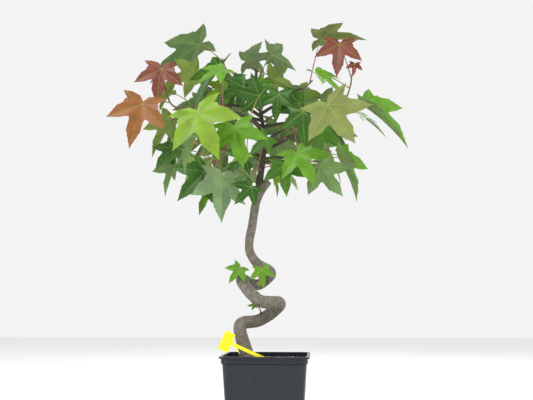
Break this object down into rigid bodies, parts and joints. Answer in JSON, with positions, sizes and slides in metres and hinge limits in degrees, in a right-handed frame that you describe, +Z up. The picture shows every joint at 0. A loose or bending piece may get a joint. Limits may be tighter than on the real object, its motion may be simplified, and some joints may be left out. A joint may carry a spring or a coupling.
{
  "type": "potted sweetgum pre-bonsai",
  "caption": "Young sweetgum tree with a corkscrew trunk and a crown of star-shaped leaves, growing in a square nursery pot with a blank plant label.",
  "frame": {"origin": "middle of the pot's flat underside", "axes": "+Z up along the tree, +X to the viewer's right, +Y away from the viewer"},
  "size_m": [0.4597, 0.3153, 0.6307],
  "materials": {
    "pot_plastic": "satin near-black moulded plastic",
    "potting_mix": "dark gritty mix with pale pebbles",
    "label_sheet": "bright yellow sheet",
    "bark": "grey-brown mottled bark",
    "young_bark": "dark brown to olive young bark",
    "foliage": "green leaves, some red and orange"
  },
  "bodies": {
    "root": {"bough_back_left": "young_bark", "bough_back_low": "young_bark", "bough_back_low_left": "young_bark", "bough_back_low_right": "young_bark", "bough_back_mid": "young_bark", "bough_back_mid_left": "young_bark", "bough_back_mid_right": "young_bark", "bough_back_top_left": "young_bark", "bough_back_top_right": "young_bark", "bough_front": "young_bark", "bough_front_left": "young_bark", "bough_front_right": "young_bark", "bough_left": "young_bark", "bough_low_left": "young_bark", "bough_low_right": "young_bark", "bough_right": "young_bark", "bough_top_left": "young_bark", "bough_top_right": "young_bark", "label": "label_sheet", "leader": "young_bark", "leaves_back_left": "foliage", "leaves_back_low": "foliage", "leaves_back_low_left": "foliage", "leaves_back_low_right": "foliage", "leaves_back_mid": "foliage", "leaves_back_mid_left": "foliage", "leaves_back_mid_right": "foliage", "leaves_back_top_left": "foliage", "leaves_back_top_right": "foliage", "leaves_crown": "foliage", "leaves_front": "foliage", "leaves_front_left": "foliage", "leaves_front_right": "foliage", "leaves_left_tip": "foliage", "leaves_low_front": "foliage", "leaves_low_left": "foliage", "leaves_low_right": "foliage", "leaves_middle_left": "foliage", "leaves_middle_right": "foliage", "leaves_right_tip": "foliage", "leaves_right_top": "foliage", "leaves_top_left": "foliage", "pot": "pot_plastic", "soil": "potting_mix", "sprout_front": "foliage", "sprout_left": "foliage", "sprout_low": "foliage", "trunk": "bark"}
  },
  "joints": []
}
